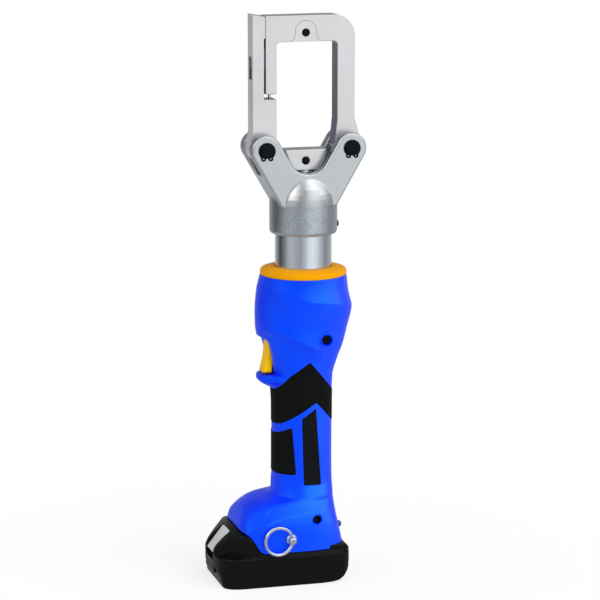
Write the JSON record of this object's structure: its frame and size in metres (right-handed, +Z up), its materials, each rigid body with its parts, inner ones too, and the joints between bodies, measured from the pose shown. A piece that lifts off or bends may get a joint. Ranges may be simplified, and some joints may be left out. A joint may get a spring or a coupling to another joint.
{
  "type": "battery hydraulic crimping tool",
  "caption": "Cordless in-line hydraulic crimping tool: latched swinging yoke over a ram on a turning neck, straight trigger handle and slide-on battery.",
  "frame": {"origin": "on the tool's axis, in the plane of the battery's flat bottom that the tool stands on", "axes": "+Z up the tool's axis to the yoke, -X towards the trigger and the battery's release, -Y towards the side with the hanging ring"},
  "size_m": [0.1338, 0.0813, 0.484],
  "materials": {
    "housing_blue": "moulded, fine grain",
    "ring_orange": "moulded, satin",
    "trigger_yellow": "moulded, satin",
    "grip_black": "soft grip, dull",
    "plate_black": "smooth film",
    "pack_black": "moulded, satin",
    "release_grey": "moulded, satin",
    "steel_ground": "ground, satin",
    "steel_forged": "shot-blasted and plated",
    "steel_polished": "polished",
    "steel_black": "black oxide",
    "spring_steel": "drawn wire",
    "bronze": "machined",
    "alloy": "machined",
    "motor_dark": "plated can",
    "seal_black": "rubber",
    "board_green": "circuit board",
    "lens_clear": "clear lens",
    "cell_wrap": "wrapped cell",
    "contact_metal": "plated contact"
  },
  "bodies": {
    "handle": {"housing_left": "housing_blue", "housing_right": "housing_blue", "collar_ring": "ring_orange", "grip_band_left": "grip_black", "grip_band_right": "grip_black", "palm_panel_left": "grip_black", "palm_panel_right": "grip_black", "label_plate_left": "plate_black", "label_plate_right": "plate_black", "housing_screws": "steel_black", "trigger_switch": "pack_black", "trigger_spring": "spring_steel", "status_light": "lens_clear", "ring_stud": "steel_polished", "motor_case": "motor_dark", "ring_gear": "steel_ground", "pump_body": "alloy", "pump_plunger": "steel_polished", "relief_valve": "contact_metal", "oil_bladder": "seal_black", "swivel_bush": "bronze", "swivel_seal": "seal_black", "control_board": "board_green", "terminal_block": "pack_black", "terminal_blades": "contact_metal"},
    "head": {"fork": "steel_forged", "cylinder": "steel_polished", "fork_set_screw": "steel_black", "yoke_pin": "steel_black", "latch_pin": "steel_black", "pin_circlips": "steel_black", "rod_bush": "bronze", "rod_wiper": "seal_black", "return_spring": "spring_steel"},
    "yoke": {"yoke": "steel_ground", "upper_die_seat": "steel_ground", "upper_button_spring": "spring_steel"},
    "upper_button": {"upper_die_button": "steel_black"},
    "latch": {"latch": "steel_ground", "latch_stop_pin": "steel_ground"},
    "ram": {"piston_rod": "steel_polished", "ram_head": "steel_ground", "piston_seal": "seal_black", "lower_button_spring": "spring_steel"},
    "lower_button": {"lower_die_button": "steel_black"},
    "rotor": {"rotor": "steel_ground"},
    "carrier": {"planet_carrier": "steel_ground", "eccentric_roller": "steel_polished"},
    "planet_1": {"planet_gear_1": "steel_ground"},
    "planet_2": {"planet_gear_2": "steel_ground"},
    "planet_3": {"planet_gear_3": "steel_ground"},
    "trigger": {"trigger": "trigger_yellow"},
    "battery": {"battery_base": "pack_black", "battery_cover": "pack_black", "battery_cells": "cell_wrap", "battery_contacts": "contact_metal", "battery_screws": "steel_black", "release_spring": "spring_steel"},
    "battery_button": {"battery_button": "release_grey"},
    "hang_ring": {"hang_ring": "steel_polished"}
  },
  "joints": [
    {"name": "head_turn", "type": "hinge", "parent": "handle", "child": "head", "pos_m": [0, 0, 0.2558], "axis": [0, 0, 1], "range_deg": [-175, 175]},
    {"name": "ram_stroke", "type": "slide", "parent": "head", "child": "ram", "axis": [0, 0, 1], "range_m": [0, 0.04], "stiffness_N_per_m": 2000, "deforming": ["return_spring"]},
    {"name": "yoke_swing", "type": "hinge", "parent": "head", "child": "yoke", "pos_m": [0.0368, 0, 0.3718], "axis": [0, 1, 0], "range_deg": [0, 80]},
    {"name": "latch_swing", "type": "hinge", "parent": "head", "child": "latch", "pos_m": [-0.0368, 0, 0.3718], "axis": [0, 1, 0], "range_deg": [-40, 0]},
    {"name": "upper_button_press", "type": "slide", "parent": "yoke", "child": "upper_button", "axis": [0, 1, 0], "range_m": [0, 0.0015], "stiffness_N_per_m": 400, "springref_m": -0.001, "deforming": ["upper_button_spring"]},
    {"name": "lower_button_press", "type": "slide", "parent": "ram", "child": "lower_button", "axis": [0, 1, 0], "range_m": [0, 0.0015], "stiffness_N_per_m": 400, "springref_m": -0.001, "deforming": ["lower_button_spring"]},
    {"name": "rotor_spin", "type": "hinge", "parent": "handle", "child": "rotor", "pos_m": [0, 0, 0.1598], "axis": [0, 0, 1], "continuous": true},
    {"name": "carrier_spin", "type": "hinge", "parent": "handle", "child": "carrier", "pos_m": [0, 0, 0.1711], "axis": [0, 0, 1], "continuous": true},
    {"name": "planet_1_spin", "type": "hinge", "parent": "carrier", "child": "planet_1", "pos_m": [0.0105, 0, 0.1628], "axis": [0, 0, 1], "continuous": true},
    {"name": "planet_2_spin", "type": "hinge", "parent": "carrier", "child": "planet_2", "pos_m": [-0.00525, 0.00909, 0.1628], "axis": [0, 0, 1], "continuous": true},
    {"name": "planet_3_spin", "type": "hinge", "parent": "carrier", "child": "planet_3", "pos_m": [-0.00525, -0.00909, 0.1628], "axis": [0, 0, 1], "continuous": true},
    {"name": "trigger_pull", "type": "hinge", "parent": "handle", "child": "trigger", "pos_m": [-0.028, 0, 0.2053], "axis": [0, -1, 0], "range_deg": [0, 7], "stiffness_Nm_per_rad": 1.5, "springref_deg": -5.73, "deforming": ["trigger_spring"]},
    {"name": "battery_slide", "type": "slide", "parent": "handle", "child": "battery", "axis": [-1, 0, 0], "range_m": [0, 0.1]},
    {"name": "release_press", "type": "slide", "parent": "battery", "child": "battery_button", "axis": [0.7792, 0, -0.6268], "range_m": [0, 0.0025], "stiffness_N_per_m": 800, "springref_m": -0.002, "deforming": ["release_spring"]},
    {"name": "ring_swing", "type": "hinge", "parent": "handle", "child": "hang_ring", "pos_m": [-0.0204, -0.0406, 0.041], "axis": [0, 0, 1], "range_deg": [0, 165]}
  ],
  "couplings": [
    {"joint": "latch_swing", "follows": "yoke_swing", "ratio": -0.5},
    {"joint": "carrier_spin", "follows": "rotor_spin", "ratio": 0.2},
    {"joint": "planet_1_spin", "follows": "rotor_spin", "ratio": -0.53333},
    {"joint": "planet_2_spin", "follows": "rotor_spin", "ratio": -0.53333},
    {"joint": "planet_3_spin", "follows": "rotor_spin", "ratio": -0.53333}
  ]
}
